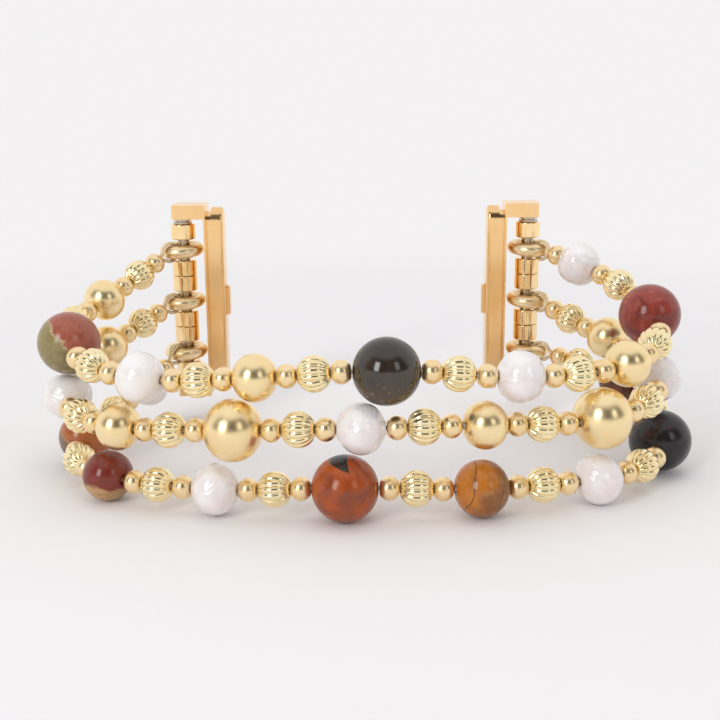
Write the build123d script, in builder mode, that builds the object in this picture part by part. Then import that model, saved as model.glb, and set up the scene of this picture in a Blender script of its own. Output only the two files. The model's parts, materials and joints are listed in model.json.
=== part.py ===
"""Bead watch band: three strands of beads on elastic cord between two slide-in connectors.

Lengths are millimetres. +Z is up along the spring bars, +X is right and +Y points away from the viewer.
The band stands on its edge, with its two connectors at the back and its three strands round the front.
The bottom strand rests on z = 0, and the spring bars stand at y = 0 before the whole is centred.
"""

import math
import os

from build123d import *

os.makedirs("parts", exist_ok=True)

# Driving sizes of the whole band
gap_length = 45.0  # clear length between the two connectors' outer plates
connector_mid_height = 19.0  # height of the middle of both connectors
front_radius = 85.0  # plan radius of the front of the strands
front_turn = 19.5  # degrees of that arc each side of its middle
front_shift = 1.3  # the front's middle lies this far to the right
top_left_corner, top_right_corner = 18.0, 16.7  # plan radii of each strand's two rounded corners
middle_left_corner, middle_right_corner = 18.1, 16.9
bottom_left_corner, bottom_right_corner = 16.4, 19.3
strand_play = 0.09  # least gap between the rims of two neighbouring beads
flex_gap = 0.2  # extra gap beside a bead that the band flexes about
row_gap = 0.12  # least gap between the large beads of two rows

# Beads: length along the cord, and diameter
small_length, small_diameter = 2.32, 3.0
fluted_length, fluted_diameter = 4.0, 4.45
flute_count = 14
flute_radius = 0.15
gold_length, gold_diameter = 5.3, 5.9
large_gold_length, large_gold_diameter = 7.0, 7.7
pearl_length, pearl_diameter = 5.9, 6.6
round_stone_length, round_stone_diameter = 8.1, 8.3
orange_stone_length, orange_stone_diameter = 6.9, 7.3
tiger_stone_length, tiger_stone_diameter = 6.6, 7.1
dark_stone_length, dark_stone_diameter = 6.2, 6.5
bead_rim = 1.6  # diameter of the flat round a bead's hole
bead_hole = 1.0

# Elastic cord
cord_diameter = 0.56
cord_end_gap = 0.2  # the cord of each link stops this far short of the flexing junction
loop_play = 0.12  # between the cord's loop and the ring's wire

# Rings that carry the cords
ring_mean_radius = 2.35
ring_wire_radius = 0.95
ring_tilt = 4.0  # degrees that the outer end of a ring hangs down
ring_play = 0.08  # between a ring and the spring bar it hangs on

# Spacer barrels on the spring bar
barrel_length = 2.32
barrel_radius = 1.85
barrel_bore_play = 0.06
barrel_edge = 0.15
barrel_play = 0.05
ring_space = 3.2  # height left between two barrels for a ring

# Spring bar
bar_radius = 0.9
bar_flange_radius = 1.4
bar_flange_height = 0.75
bar_groove_height = 0.25
bar_groove_radius = 1.0
bar_end_gap = 0.08  # between a flange and the ear
tip_radius = 0.5
tip_play = 0.04
tip_reach = 1.16  # depth of a tip inside its ear
tip_collar_radius = 0.6
tip_collar_length = 1.2
bar_bore_depth = 8.8
bar_mouth_depth = 0.6
bar_spring_radius = 0.42
bar_spring_wire = 0.1  # radius of the wire
bar_spring_pitch = 0.75
spring_seat_gap = 0.05
coil_points = 400

# Connector that slides into a slot
bar_to_face = 3.7  # spring bar axis to the face that the connector meets
connector_width = 4.8
ear_thickness = 2.1
ear_overhang = 1.35  # ear beyond the spring bar axis
ear_edge = 0.35
pin_hole_play = 0.05
pin_hole_spare = 0.14
plate_thickness = 0.3
rail_length = 28.6
rail_neck_width, rail_neck_depth = 2.6, 0.8
rail_head_width, rail_head_depth = 3.9, 1.8
rail_edge = 0.5

# Catch button in the rail
catch_length, catch_width = 4.5, 1.4
catch_proud = 0.6
catch_edge = 0.25
catch_play = 0.06
catch_flange = 0.3  # how far the button's flange reaches past the button
catch_flange_thickness = 0.45
catch_mouth_depth = 0.5
catch_room_depth = 1.9
catch_spring_radius = 0.5
catch_spring_wire = 0.1
catch_spring_pitch = 0.62

# Heights of the large beads along each row, left to right, as shares of the round stones' diameter
top_height_share = (2.52, 2.23, 2.0, 2.1, 2.25, 2.07, 2.09, 2.47, 3.07)
middle_height_share = (1.73, 1.31, 1.24, 1.35, 1.42, 1.42, 1.34, 1.57, 1.84)
bottom_height_share = (0.86, 0, 0, 0, 0, 0, 0, 0, 1.03)  # 0 stands on the ground

steps_to_solve = 40
steps_to_follow = 5
steps_to_bend = 3

# Large beads of each row, left to right
sizes = {
    "gold": (gold_length, gold_diameter),
    "large_gold": (large_gold_length, large_gold_diameter),
    "pearl": (pearl_length, pearl_diameter),
    "round": (round_stone_length, round_stone_diameter),
    "orange": (orange_stone_length, orange_stone_diameter),
    "tiger": (tiger_stone_length, tiger_stone_diameter),
    "dark": (dark_stone_length, dark_stone_diameter),
    "small": (small_length, small_diameter),
    "fluted": (fluted_length, fluted_diameter),
}
top_beads = [
    ("gold", "top_1_gold_bead"), ("round", "top_2_green_stone"), ("pearl", "top_3_pearl"),
    ("gold", "top_4_gold_bead"), ("round", "top_5_smoky_stone"), ("pearl", "top_6_pearl"),
    ("gold", "top_7_gold_bead"), ("round", "top_8_red_stone"), ("pearl", "top_9_pearl"),
]
middle_beads = [
    ("gold", "middle_1_gold_bead"), ("pearl", "middle_2_pearl"), ("gold", "middle_3_gold_bead"),
    ("large_gold", "middle_4_large_gold_bead"), ("pearl", "middle_5_pearl"), ("gold", "middle_6_gold_bead"),
    ("large_gold", "middle_7_large_gold_bead"), ("pearl", "middle_8_pearl"), ("gold", "middle_9_gold_bead"),
]
bottom_beads = [
    ("pearl", "bottom_1_pearl"), ("orange", "bottom_2_orange_stone"), ("dark", "bottom_3_dark_red_stone"),
    ("pearl", "bottom_4_pearl"), ("round", "bottom_5_brown_red_stone"), ("tiger", "bottom_6_tiger_stone"),
    ("pearl", "bottom_7_pearl"), ("round", "bottom_8_black_stone"), ("dark", "bottom_9_brown_stone"),
]
spacers = [("small", ""), ("fluted", ""), ("small", "")]
single = [("small", "")]


def threaded(before, large, after):
    """A row as it is threaded: spacers before, between and after its large beads."""
    row = list(before)
    for place, bead in enumerate(large):
        row += (spacers if place else []) + [bead]
    return row + list(after)


rows = {
    "top": threaded(spacers, top_beads, single),
    "middle": threaded(spacers, middle_beads, spacers),
    "bottom": threaded(single, bottom_beads, spacers),
}
height_shares = {"top": top_height_share, "middle": middle_height_share, "bottom": bottom_height_share}
corners = {
    "top": (top_left_corner, top_right_corner),
    "middle": (middle_left_corner, middle_right_corner),
    "bottom": (bottom_left_corner, bottom_right_corner),
}

# The band flexes about these beads of each row: three to the left of the front link, four to the right
flex_beads = {
    "top": (5, 8, 12, 21, 25, 28, 32),
    "middle": (5, 9, 14, 22, 26, 29, 34),
    "bottom": (4, 8, 12, 20, 24, 27, 32),
}
flexes_on_left = 3
links = ["left_end", "left_side", "left_front", "front", "right_front", "right_turn", "right_side", "right_end"]

# Places that follow from the sizes above
bar_x = gap_length / 2 + bar_to_face
ring_offset = ring_mean_radius - ring_wire_radius - bar_radius - ring_play
eye_distance = (ring_offset + ring_mean_radius) * math.cos(math.radians(ring_tilt))
eye_drop = (ring_offset + ring_mean_radius) * math.sin(math.radians(ring_tilt))
loop_radius = ring_wire_radius + loop_play + cord_diameter / 2
first_bead = loop_radius + cord_diameter  # from a ring's eye to the face of its first bead
fork_reach = cord_diameter / 4  # how far a strand's cord runs on into the fork of its loop
ring_pitch = ring_space + 2 * barrel_length + barrel_play
row_heights = {
    "top": connector_mid_height + ring_pitch,
    "middle": connector_mid_height,
    "bottom": connector_mid_height - ring_pitch,
}
turn_front = math.radians(front_turn)


def side_leg(shift, depth, corner):
    """Length and heading of the straight leg from a corner's arc to the spring bar, on the right side."""
    centre_x = shift + (front_radius - corner) * math.sin(turn_front)
    centre_y = -depth + front_radius - (front_radius - corner) * math.cos(turn_front)
    across, up = bar_x - centre_x, -centre_y
    reach = math.hypot(across, up)
    lean = math.asin(min(corner / reach, 1.0))
    return reach * math.cos(lean), math.atan2(up, across) + lean


def plan_legs(row, depth):
    """A strand's heading as it leaves the left bar, and its legs to the right bar: length, turn to the left."""
    left_corner, right_corner = corners[row]
    left_run, left_heading = side_leg(-front_shift, depth, left_corner)
    right_run, right_heading = side_leg(front_shift, depth, right_corner)
    left_turn, right_turn = left_heading - turn_front, right_heading - turn_front
    legs = [
        (left_run, 0.0),
        (left_corner * left_turn, left_turn),
        (front_radius * 2 * turn_front, 2 * turn_front),
        (right_corner * right_turn, right_turn),
        (right_run, 0.0),
    ]
    return -left_heading, legs


def plan_point(run, heading, legs):
    """Place on the plan curve, at a run measured along it from the left bar."""
    x, y = -bar_x, 0.0
    for length, turn in legs:
        part = max(0.0, min(run, length)) if (length, turn) != legs[-1] else run
        if turn:
            radius = length / turn
            x += radius * (math.sin(heading + part / radius) - math.sin(heading))
            y -= radius * (math.cos(heading + part / radius) - math.cos(heading))
            heading += part / radius
        else:
            x += part * math.cos(heading)
            y += part * math.sin(heading)
        run -= part
        if run <= 0:
            break
    return x, y


def large_places(row):
    """Share of the strand's length at the middle of each large bead."""
    total = sum(sizes[kind][0] for kind, name in rows[row])
    places, run = [], 0.0
    for kind, name in rows[row]:
        length = sizes[kind][0]
        if name:
            places.append((run + length / 2) / total)
        run += length
    return places


def large_seats(row, heading, legs, below):
    """Run, place and radius of each large bead of a row, lifted clear of the large beads of the row below."""
    total = sum(length for length, turn in legs)
    start = eye_distance + first_bead
    large = [bead for bead in rows[row] if bead[1]]
    found = []
    for (kind, name), share, rise in zip(large, large_places(row), height_shares[row]):
        radius = sizes[kind][1] / 2
        run = start + share * (total - 2 * start)
        x, y = plan_point(run, heading, legs)
        height = rise * round_stone_diameter if rise else radius
        for other_run, other_x, other_y, other_height, other_radius in below:
            room = (radius + other_radius + row_gap) ** 2 - (x - other_x) ** 2 - (y - other_y) ** 2
            if room > 0:
                height = max(height, other_height + math.sqrt(room))
        found.append((run, x, y, height, radius))
    return found


def height_knots(row, legs, large):
    """Run and height at the two rings and at each large bead of a row."""
    total = sum(length for length, turn in legs)
    ends = row_heights[row] - eye_drop
    knots = [(run, height) for run, x, y, height, radius in large]
    return [(eye_distance, ends)] + knots + [(total - eye_distance, ends)]


def height_at(run, knots):
    """Height of a row's cord: a smooth curve through its knots."""
    last = len(knots) - 1
    place = next((n for n in range(last - 1) if run < knots[n + 1][0]), last - 1)
    (run_a, height_a), (run_b, height_b) = knots[place], knots[place + 1]
    span = run_b - run_a

    def slope(n):
        low, high = knots[max(n - 1, 0)], knots[min(n + 1, last)]
        return (high[1] - low[1]) / (high[0] - low[0])

    t = (run - run_a) / span
    rise = height_b - height_a
    slope_a, slope_b = slope(place) * span, slope(place + 1) * span
    return height_a + t * (slope_a + t * (3 * rise - 2 * slope_a - slope_b + t * (slope_a + slope_b - 2 * rise)))


def flex_junctions(row):
    """The junctions that open when the band flexes: the outer face of each bead it flexes about."""
    return [bead if n < flexes_on_left else bead + 1 for n, bead in enumerate(flex_beads[row])]


def rim_of(kind):
    """Diameter of the flat end of a bead."""
    if kind == "fluted":
        return math.sqrt(fluted_diameter**2 - fluted_length**2)
    return bead_rim


def bead_gaps(row, points):
    """Gap on the cord at each junction: more where the strand bends, so that the rims just stay apart."""
    row_beads = rows[row]
    gaps = [0.0] + [strand_play] * (len(row_beads) - 1) + [0.0]
    for junction in flex_junctions(row):
        gaps[junction] += flex_gap
    for n in range(1, len(points) - 1):
        before, here, after = Vector(*points[n - 1]), Vector(*points[n]), Vector(*points[n + 1])
        bend = math.radians((here - before).get_angle(after - here))
        gaps[n] += max(rim_of(row_beads[n - 1][0]), rim_of(row_beads[n][0])) * math.sin(bend / 2)
    return gaps


def follow(row, heading, legs, knots):
    """Junction points of a strand, the run where it ends and the gaps between its beads."""
    points = []
    for _ in range(steps_to_bend):
        gaps = bead_gaps(row, points)
        run = eye_distance + first_bead
        x, y = plan_point(run, heading, legs)
        points = [(x, y, height_at(run, knots))]
        for n, (kind, name) in enumerate(rows[row]):
            pitch = sizes[kind][0] + (gaps[n] + gaps[n + 1]) / 2
            step = pitch
            for _ in range(steps_to_follow):
                x, y = plan_point(run + step, heading, legs)
                point = (x, y, height_at(run + step, knots))
                step += pitch - math.dist(point, points[-1])
            run += step
            points.append(point)
    return points, run, gaps


def lay(row, depth, below):
    """A strand laid in a loop of some depth: its heading, legs, large beads and height knots."""
    heading, legs = plan_legs(row, depth)
    large = large_seats(row, heading, legs, below)
    return heading, legs, large, height_knots(row, legs, large)


def solve_depth(row, below):
    """Depth of the loop that a strand's beads just fill from ring to ring."""
    shallow, deep = 2 * max(corners[row]), front_radius
    for _ in range(steps_to_solve):
        depth = (shallow + deep) / 2
        heading, legs, large, knots = lay(row, depth, below)
        last_face = sum(length for length, turn in legs) - eye_distance - first_bead
        if follow(row, heading, legs, knots)[1] > last_face:
            shallow = depth
        else:
            deep = depth
    return depth


# Each strand as it lies, from the bottom one up, with the middle and the direction of each of its beads
depths, headings, plans, followed, seats = {}, {}, {}, {}, {}
lower_beads = []
for row in ("bottom", "middle", "top"):
    depths[row] = solve_depth(row, lower_beads)
    headings[row], plans[row], lower_beads, knots = lay(row, depths[row], lower_beads)
    points, end_run, gaps = follow(row, headings[row], plans[row], knots)
    followed[row] = [Vector(*point) for point in points]
    seats[row] = []
    for n, (kind, name) in enumerate(rows[row]):
        along = (followed[row][n + 1] - followed[row][n]).normalized()
        middle = followed[row][n] + along * (gaps[n] / 2 + sizes[kind][0] / 2)
        seats[row].append((middle, along, sizes[kind][1] / 2))

# The middle of the whole part in plan, from its widest beads, its front beads and the back of its rings,
# and the height of its lowest bead
reaches = [(middle, radius) for row in rows for middle, along, radius in seats[row]]
widest_left = min(middle.X - radius for middle, radius in reaches)
widest_right = max(middle.X + radius for middle, radius in reaches)
foremost = min(middle.Y - radius for middle, radius in reaches)
ring_back = ring_mean_radius + ring_wire_radius + ring_offset * math.sin(max(headings.values()))
lowest = min(middle.Z - radius for middle, radius in reaches)
centre = Vector((widest_left + widest_right) / 2, (foremost + ring_back) / 2, lowest)


def placed(point):
    """A place measured from between the two spring bars, moved into the finished part's frame."""
    return Vector(*point) - centre


bead_planes, bead_links, junctions = {}, {}, {}
for row in rows:
    junctions[row] = [placed(point) for point in followed[row]]
    bead_planes[row] = [
        Plane(origin=placed(middle), x_dir=along.cross(Vector(0, 0, 1)), z_dir=along)
        for middle, along, radius in seats[row]
    ]
    bead_links[row] = [sum(flex <= n for flex in flex_junctions(row)) for n in range(len(rows[row]))]


# Bead shapes, each with its hole along +Z
def round_bead(length, diameter):
    """A round bead: flat rims round its hole, and a round side."""
    half, hole, rim = length / 2, bead_hole / 2, bead_rim / 2
    with BuildPart() as bead:
        with BuildSketch(Plane.XZ):
            with BuildLine():
                Polyline((rim, half), (hole, half), (hole, -half), (rim, -half))
                ThreePointArc((rim, -half), (diameter / 2, 0), (rim, half))
            make_face()
        revolve(axis=Axis.Z)
    return bead.part


def fluted_bead():
    """A melon bead: a ball with flat ends, and grooves that run over it from rim to rim."""
    with BuildPart() as bead:
        Sphere(fluted_diameter / 2)
        Cylinder(fluted_diameter, fluted_length, mode=Mode.INTERSECT)
        Cylinder(bead_hole / 2, fluted_length, mode=Mode.SUBTRACT)
        with Locations(*[Plane.XZ.rotated((0, 0, n * 360 / flute_count)) for n in range(flute_count // 2)]):
            Torus(fluted_diameter / 2, flute_radius, mode=Mode.SUBTRACT)
    return bead.part


small_bead = round_bead(small_length, small_diameter)
melon_bead = fluted_bead()

# Large beads: every one turns on the cord by itself
for row in rows:
    for (kind, name), plane in zip(rows[row], bead_planes[row]):
        if name:
            length, diameter = sizes[kind]
            with BuildPart() as large_bead:
                with Locations(plane):
                    add(round_bead(length, diameter))
            large_bead.part.label = name
            export_step(large_bead.part, f"parts/{name}.step")


def eye_of(row, side):
    """Middle of the ring's wire where a strand's cord goes round it."""
    total = sum(length for length, turn in plans[row])
    run = eye_distance if side < 0 else total - eye_distance
    x, y = plan_point(run, headings[row], plans[row])
    return placed((x, y, row_heights[row] - eye_drop))


def loop_round_ring(row, side):
    """The cord's loop: two legs from the first bead and a round turn over the ring's wire."""
    eye = eye_of(row, side)
    face = junctions[row][0 if side < 0 else -1]
    out = (face - eye).normalized()
    loop = Plane(origin=eye, x_dir=out, z_dir=out.cross(Vector(0, 0, 1)))
    reach = (face - eye).length
    meet = math.degrees(math.acos(loop_radius / reach))
    touch = (loop_radius * math.cos(math.radians(meet)), loop_radius * math.sin(math.radians(meet)))
    with BuildPart() as turn:
        for sign in (1, -1):
            with BuildLine(loop) as route:
                leg = Line((reach, 0), (touch[0], sign * touch[1]))
                CenterArc((0, 0), loop_radius, sign * meet, sign * (180 - meet))
            with BuildSketch(Plane(origin=leg @ 0, z_dir=leg % 0)):
                Circle(cord_diameter / 2)
            sweep(path=route.wire())
    return turn.part


def cord_through(points):
    """A cord through the holes of a stretch of beads, straight inside each bead."""
    with BuildPart() as stretch:
        with BuildLine() as route:
            Polyline(*points)
        with BuildSketch(Plane(origin=points[0], z_dir=points[1] - points[0])):
            Circle(cord_diameter / 2)
        sweep(path=route.wire(), transition=Transition.RIGHT)
    return stretch.part


def link_points(row, place):
    """Junctions of one link's stretch of cord, drawn back from the next link and run on into a loop's fork."""
    members = [n for n, link in enumerate(bead_links[row]) if link == place]
    first, last = members[0], members[-1] + 1
    points = junctions[row][first : last + 1]
    inward = cord_end_gap if place > 0 else -fork_reach
    points[0] += (points[1] - points[0]).normalized() * inward
    inward = cord_end_gap if place < len(links) - 1 else -fork_reach
    points[-1] += (points[-2] - points[-1]).normalized() * inward
    return points


# Links: the spacer beads and the cords between two flexing junctions
for place, link in enumerate(links):
    with BuildPart() as spacer_beads:
        for row in rows:
            for kind, shape in (("small", small_bead), ("fluted", melon_bead)):
                chosen = [
                    plane
                    for (bead_kind, name), plane, owner in zip(rows[row], bead_planes[row], bead_links[row])
                    if bead_kind == kind and owner == place
                ]
                if chosen:
                    with Locations(*chosen):
                        add(shape)
    spacer_beads.part.label = f"spacer_beads_{link}"
    export_step(spacer_beads.part, f"parts/spacer_beads_{link}.step")

    with BuildPart() as cords:
        for row in rows:
            add(cord_through(link_points(row, place)))
            if place == 0:
                add(loop_round_ring(row, -1))
            if place == len(links) - 1:
                add(loop_round_ring(row, 1))
    cords.part.label = f"cords_{link}"
    export_step(cords.part, f"parts/cords_{link}.step")

# Heights on a spring bar, measured up from its middle
ring_seats = {"bottom": -ring_pitch, "middle": 0.0, "top": ring_pitch}
inner_pair = ring_space / 2 + barrel_length / 2
outer_pair = inner_pair + barrel_length + barrel_play
end_barrel = ring_pitch + inner_pair
barrel_seats = [side * seat for side in (-1, 1) for seat in (inner_pair, outer_pair, end_barrel)]
flange_base = end_barrel + barrel_length / 2 + barrel_play
flange_top = flange_base + bar_flange_height
ear_base = flange_top + bar_end_gap
ear_top = ear_base + ear_thickness
tip_top = ear_base + tip_reach
bore_top = flange_top - bar_mouth_depth
bore_base = flange_top - bar_bore_depth
collar_base = bore_top - spring_seat_gap - tip_collar_length
rail_inner = bar_to_face + rail_neck_depth + rail_head_depth
room_top = rail_inner - catch_mouth_depth
room_base = room_top - catch_room_depth
flange_seat = room_top - catch_flange_thickness


def bar_plane(side):
    """The middle of a spring bar, with +X pointing out of the opening between the connectors."""
    origin = placed((side * bar_x, 0, connector_mid_height))
    return Plane(origin=origin, x_dir=(side, 0, 0), z_dir=(0, 0, 1))


def facing_in(side, distance):
    """A plane square to the rail, at a distance inwards of the bar, with +Z pointing inwards."""
    origin = placed((side * (bar_x - distance), 0, connector_mid_height))
    return Plane(origin=origin, x_dir=(0, 0, 1), z_dir=(-side, 0, 0))


def coil(plane, radius, wire, pitch, height):
    """A wound spring standing on a plane."""
    winding = Helix(pitch=pitch, height=height, radius=radius)
    around = [winding @ (n / coil_points) for n in range(coil_points + 1)]
    half_turn = math.ceil(coil_points * pitch / height / 2)
    least = min(math.dist(a, b) for n, a in enumerate(around) for b in around[n + half_turn :])
    print("least gap between the turns of a spring", round(least - 2 * wire, 3))
    with BuildPart() as spring:
        with BuildSketch(Plane(origin=winding @ 0, z_dir=winding % 0)):
            Circle(wire)
        sweep(path=winding, is_frenet=True)
    with BuildPart() as seated:
        with Locations(plane):
            add(spring.part)
    return seated.part


for word, side in (("left", -1), ("right", 1)):
    with BuildPart() as lug:
        with BuildSketch(facing_in(side, bar_to_face - plate_thickness)):
            RectangleRounded(2 * ear_top, connector_width, ear_edge)
        extrude(amount=plate_thickness)
        with BuildSketch(facing_in(side, bar_to_face)):
            SlotOverall(rail_length - (rail_head_width - rail_neck_width), rail_neck_width)
        extrude(amount=rail_neck_depth)
        with BuildSketch(facing_in(side, bar_to_face + rail_neck_depth)):
            SlotOverall(rail_length, rail_head_width)
        extrude(amount=rail_head_depth)
        fillet(lug.faces().sort_by(Axis.X)[0 if side > 0 else -1].outer_wire().edges(), rail_edge)
        ear_run = bar_to_face + ear_overhang
        for level in (ear_base + ear_thickness / 2, -ear_base - ear_thickness / 2):
            ear_middle = placed((side * (bar_x + ear_overhang - ear_run / 2), 0, connector_mid_height + level))
            with Locations(ear_middle):
                Box(ear_run, connector_width, ear_thickness)
        outer_edges = lug.edges().filter_by(Axis.Z).group_by(Axis.X)[-1 if side > 0 else 0]
        fillet(outer_edges, ear_edge)
        for end in (1, -1):
            hole_top = ear_base + tip_reach + pin_hole_spare
            hole_middle = placed((side * bar_x, 0, connector_mid_height + end * hole_top / 2))
            with Locations(hole_middle):
                Cylinder(tip_radius + pin_hole_play, hole_top, mode=Mode.SUBTRACT)
        with BuildSketch(facing_in(side, room_base)):
            room_length = catch_length + 2 * (catch_flange + catch_play)
            room_width = catch_width + 2 * (catch_flange + catch_play)
            RectangleRounded(room_length, room_width, catch_edge)
        extrude(amount=catch_room_depth, mode=Mode.SUBTRACT)
        with BuildSketch(facing_in(side, room_top)):
            RectangleRounded(catch_length + 2 * catch_play, catch_width + 2 * catch_play, catch_edge)
        extrude(amount=catch_mouth_depth, mode=Mode.SUBTRACT)
    lug.part.label = f"{word}_lug"
    export_step(lug.part, f"parts/{word}_lug.step")

    with BuildPart() as catch_button:
        with BuildSketch(facing_in(side, flange_seat)):
            RectangleRounded(catch_length + 2 * catch_flange, catch_width + 2 * catch_flange, catch_edge)
        extrude(amount=catch_flange_thickness - catch_play)
        with BuildSketch(facing_in(side, room_top - catch_play)):
            RectangleRounded(catch_length, catch_width, catch_edge)
        extrude(amount=catch_play + catch_mouth_depth + catch_proud)
        front = catch_button.faces().sort_by(Axis.X)[0 if side > 0 else -1]
        fillet(front.edges(), catch_edge)
    catch_button.part.label = f"{word}_catch_button"
    export_step(catch_button.part, f"parts/{word}_catch_button.step")

    catch_spring_height = catch_room_depth - catch_flange_thickness - 2 * (catch_spring_wire + spring_seat_gap)
    catch_spring_part = coil(
        facing_in(side, room_base + catch_spring_wire + spring_seat_gap),
        catch_spring_radius,
        catch_spring_wire,
        catch_spring_pitch,
        catch_spring_height,
    )
    catch_spring_part.label = f"{word}_catch_spring"
    export_step(catch_spring_part, f"parts/{word}_catch_spring.step")

    upright = bar_plane(side)
    with BuildPart() as spring_bar:
        with BuildSketch(upright.offset(-flange_top)):
            Circle(bar_radius)
        extrude(amount=2 * flange_top)
        for level in (flange_base, -flange_top):
            with BuildSketch(upright.offset(level)):
                Circle(bar_flange_radius)
            extrude(amount=bar_flange_height)
            with BuildSketch(upright.offset(level + (bar_flange_height - bar_groove_height) / 2)):
                Circle(bar_flange_radius)
                Circle(bar_groove_radius, mode=Mode.SUBTRACT)
            extrude(amount=bar_groove_height, mode=Mode.SUBTRACT)
        with BuildSketch(upright.offset(-tip_top)):
            Circle(tip_radius)
        extrude(amount=tip_top - flange_top)
        with BuildSketch(upright.offset(bore_base)):
            Circle(tip_collar_radius + tip_play)
        extrude(amount=bore_top - bore_base, mode=Mode.SUBTRACT)
        with BuildSketch(upright.offset(bore_top)):
            Circle(tip_radius + tip_play)
        extrude(amount=bar_mouth_depth, mode=Mode.SUBTRACT)
    spring_bar.part.label = f"{word}_spring_bar"
    export_step(spring_bar.part, f"parts/{word}_spring_bar.step")

    with BuildPart() as bar_tip:
        with BuildSketch(upright.offset(collar_base)):
            Circle(tip_collar_radius)
        extrude(amount=tip_collar_length)
        with BuildSketch(upright.offset(collar_base)):
            Circle(tip_radius)
        extrude(amount=tip_top - collar_base)
        chamfer(bar_tip.edges().sort_by(Axis.Z)[-1], tip_play)
    bar_tip.part.label = f"{word}_bar_tip"
    export_step(bar_tip.part, f"parts/{word}_bar_tip.step")

    bar_spring_height = collar_base - bore_base - 2 * (bar_spring_wire + spring_seat_gap)
    bar_spring_part = coil(
        upright.offset(bore_base + bar_spring_wire + spring_seat_gap),
        bar_spring_radius,
        bar_spring_wire,
        bar_spring_pitch,
        bar_spring_height,
    )
    bar_spring_part.label = f"{word}_bar_spring"
    export_step(bar_spring_part, f"parts/{word}_bar_spring.step")

    with BuildPart() as barrels:
        for seat in barrel_seats:
            with BuildSketch(upright.offset(seat - barrel_length / 2)):
                Circle(barrel_radius)
                Circle(bar_radius + barrel_bore_play, mode=Mode.SUBTRACT)
            extrude(amount=barrel_length)
        fillet(barrels.edges().filter_by(GeomType.CIRCLE).group_by(SortBy.RADIUS)[-1], barrel_edge)
    barrels.part.label = f"{word}_barrels"
    export_step(barrels.part, f"parts/{word}_barrels.step")

    with BuildPart() as rings:
        for row, seat in ring_seats.items():
            turned = sum(turn for length, turn in plans[row]) if side > 0 else 0.0
            heading = headings[row] + turned
            out = Vector(math.cos(heading), math.sin(heading), 0) * -side
            level = Plane(origin=upright.offset(seat).origin, x_dir=out, z_dir=(0, 0, 1))
            tilted = Plane(level.location * Rotation(0, ring_tilt, 0))
            with BuildSketch(Plane(origin=tilted.origin + tilted.x_dir * ring_offset, x_dir=tilted.x_dir,
                                   z_dir=tilted.y_dir)):
                with Locations((ring_mean_radius, 0)):
                    Circle(ring_wire_radius)
            revolve(axis=Axis(tilted.origin + tilted.x_dir * ring_offset, tilted.z_dir))
    rings.part.label = f"{word}_rings"
    export_step(rings.part, f"parts/{word}_rings.step")

# Where the band flexes and how it lies, in millimetres
for n in range(len(links) - 1):
    middles = [bead_planes[row][flex_beads[row][n]].origin for row in rows]
    axis = sum(middles, Vector()) / len(middles)
    print(f"flexes at {links[n]} - {links[n + 1]}: {axis.X:.3f} {axis.Y:.3f}")
print("depth of each strand's loop", {row: round(depth, 3) for row, depth in depths.items()})
print("spring bars", placed((-bar_x, 0, 0)), placed((bar_x, 0, 0)))
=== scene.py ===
"""Bead watch band: the looks of the beads, cords and connectors, and the studio round them."""

import json
import math

import bmesh
import bpy
from mathutils import Matrix, Vector, noise


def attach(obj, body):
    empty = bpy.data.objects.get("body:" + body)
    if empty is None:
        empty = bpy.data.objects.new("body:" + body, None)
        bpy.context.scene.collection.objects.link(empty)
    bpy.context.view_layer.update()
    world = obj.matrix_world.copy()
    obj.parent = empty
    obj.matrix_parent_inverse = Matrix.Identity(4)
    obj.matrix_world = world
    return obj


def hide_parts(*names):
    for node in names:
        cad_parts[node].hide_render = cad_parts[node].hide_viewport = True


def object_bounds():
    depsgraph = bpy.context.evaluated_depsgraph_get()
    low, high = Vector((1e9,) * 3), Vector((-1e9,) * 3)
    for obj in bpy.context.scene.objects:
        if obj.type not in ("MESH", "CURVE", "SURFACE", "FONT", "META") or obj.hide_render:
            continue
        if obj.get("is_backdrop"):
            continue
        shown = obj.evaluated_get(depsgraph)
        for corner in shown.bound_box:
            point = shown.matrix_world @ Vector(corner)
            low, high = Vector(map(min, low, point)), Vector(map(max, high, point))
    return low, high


bl_info = {
    "name": "Bead Watch Band",
    "version": (1, 0, 0),
    "blender": (4, 5, 0),
    "location": "View3D > Sidebar > Bead Band",
    "description": "Dresses the packed bead watch band and sets up its studio",
    "category": "Object",
}

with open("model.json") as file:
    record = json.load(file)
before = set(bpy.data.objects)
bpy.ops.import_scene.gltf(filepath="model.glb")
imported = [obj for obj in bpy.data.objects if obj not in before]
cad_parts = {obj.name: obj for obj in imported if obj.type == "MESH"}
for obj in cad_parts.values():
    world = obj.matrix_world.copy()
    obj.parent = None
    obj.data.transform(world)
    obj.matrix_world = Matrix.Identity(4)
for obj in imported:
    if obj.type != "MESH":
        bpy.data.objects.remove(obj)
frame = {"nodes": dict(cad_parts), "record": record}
cad_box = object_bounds()

MM = 0.001
ALL_WAY = 2 * math.pi
SIDES = ("left", "right")
LINKS = sorted(name.removeprefix("cords_") for name in frame["nodes"] if name.startswith("cords_"))
SLOTS = {part["node"]: part["material_slot"] for part in frame["record"]["subparts"]}

# Faces of each kind of bead: from one mouth of its hole to the other, and round it
GOLD_FACES = (40, 72)
PEARL_FACES = (80, 128)
STONE_FACES = (48, 96)
SMALL_FACES = (16, 36)
FLUTED_ROWS, STEPS_PER_FLUTE = 20, 8

# Spacer beads shorter than this share of the longest are the small round ones
SMALL_SHARE = 0.8
# Each spacer bead of a link is turned this much further than the one before, in radians
ROLL_STEP = 0.37

# Ring grooves of a pearl: how far up from the first one, and how wide, as shares of its radius
PEARL_GROOVES = ((0.0, 0.035), (0.15, 0.03), (0.26, 0.025))

# Where the points of a fine strand stand round a ring's wire, in degrees from the strand's bead
STRAND_TURNS = (50, 90, 135, 180, 225, 270, 310)
# The strand's curve cuts inside the corners of its points, so they stand this much further out
STRAND_ROOM = 1.22

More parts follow.
